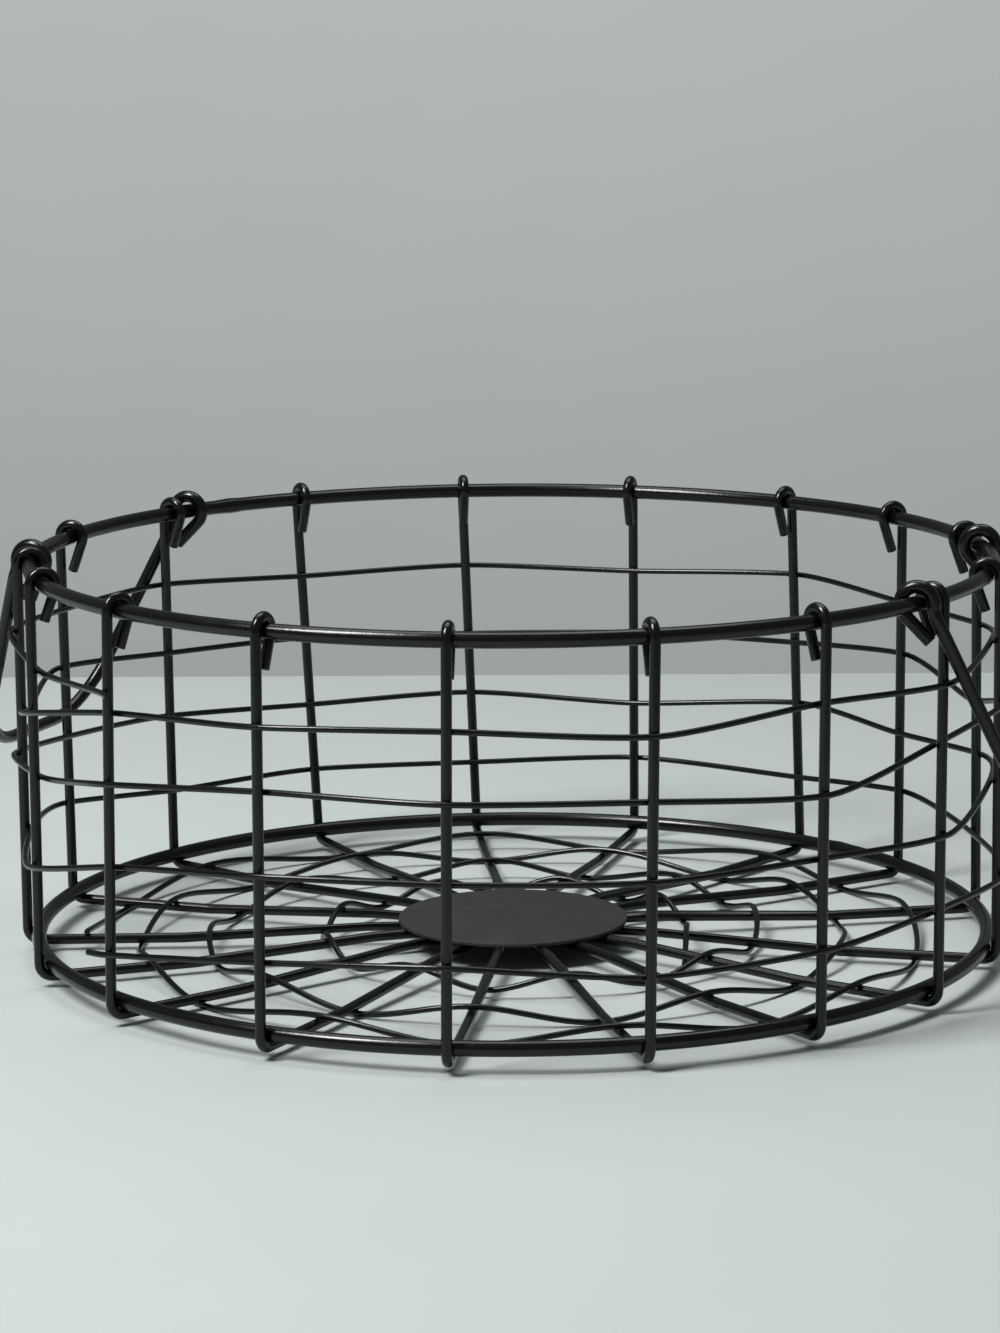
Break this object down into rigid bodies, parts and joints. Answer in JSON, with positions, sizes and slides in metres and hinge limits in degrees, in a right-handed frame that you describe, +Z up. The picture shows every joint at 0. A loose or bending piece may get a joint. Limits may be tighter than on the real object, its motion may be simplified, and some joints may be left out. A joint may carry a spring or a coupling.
{
  "type": "wire storage basket",
  "caption": "Round open wire storage basket with seventeen hooked ribs, thin wires woven round wall and floor, a flat centre disc and two swinging bail handles.",
  "frame": {"origin": "on the surface that the basket stands on, under the middle of the basket", "axes": "+Z up, from the floor to the open rim; +X from the middle towards the right handle"},
  "size_m": [0.4584, 0.4181, 0.176],
  "materials": {
    "black_wire": "satin black powder coat on steel wire",
    "grey_disc": "matte dark grey powder coat on sheet steel"
  },
  "bodies": {
    "basket": {"rim_ring": "black_wire", "base_ring": "black_wire", "rib_01": "black_wire", "rib_02": "black_wire", "rib_03": "black_wire", "rib_04": "black_wire", "rib_05": "black_wire", "rib_06": "black_wire", "rib_07": "black_wire", "rib_08": "black_wire", "rib_09": "black_wire", "rib_10": "black_wire", "rib_11": "black_wire", "rib_12": "black_wire", "rib_13": "black_wire", "rib_14": "black_wire", "rib_15": "black_wire", "rib_16": "black_wire", "rib_17": "black_wire", "side_weave": "black_wire", "base_weave": "black_wire", "centre_disc": "grey_disc"},
    "handle_right": {"handle_right": "black_wire"},
    "handle_left": {"handle_left": "black_wire"}
  },
  "joints": [
    {"name": "handle_right_swing", "type": "hinge", "parent": "basket", "child": "handle_right", "pos_m": [0.1847, 0.00871, 0.1666], "axis": [0.0471, -0.9989, 0], "range_deg": [0, 325]},
    {"name": "handle_left_swing", "type": "hinge", "parent": "basket", "child": "handle_left", "pos_m": [-0.1847, 0.00871, 0.1666], "axis": [0.0471, 0.9989, 0], "range_deg": [0, 325]}
  ]
}
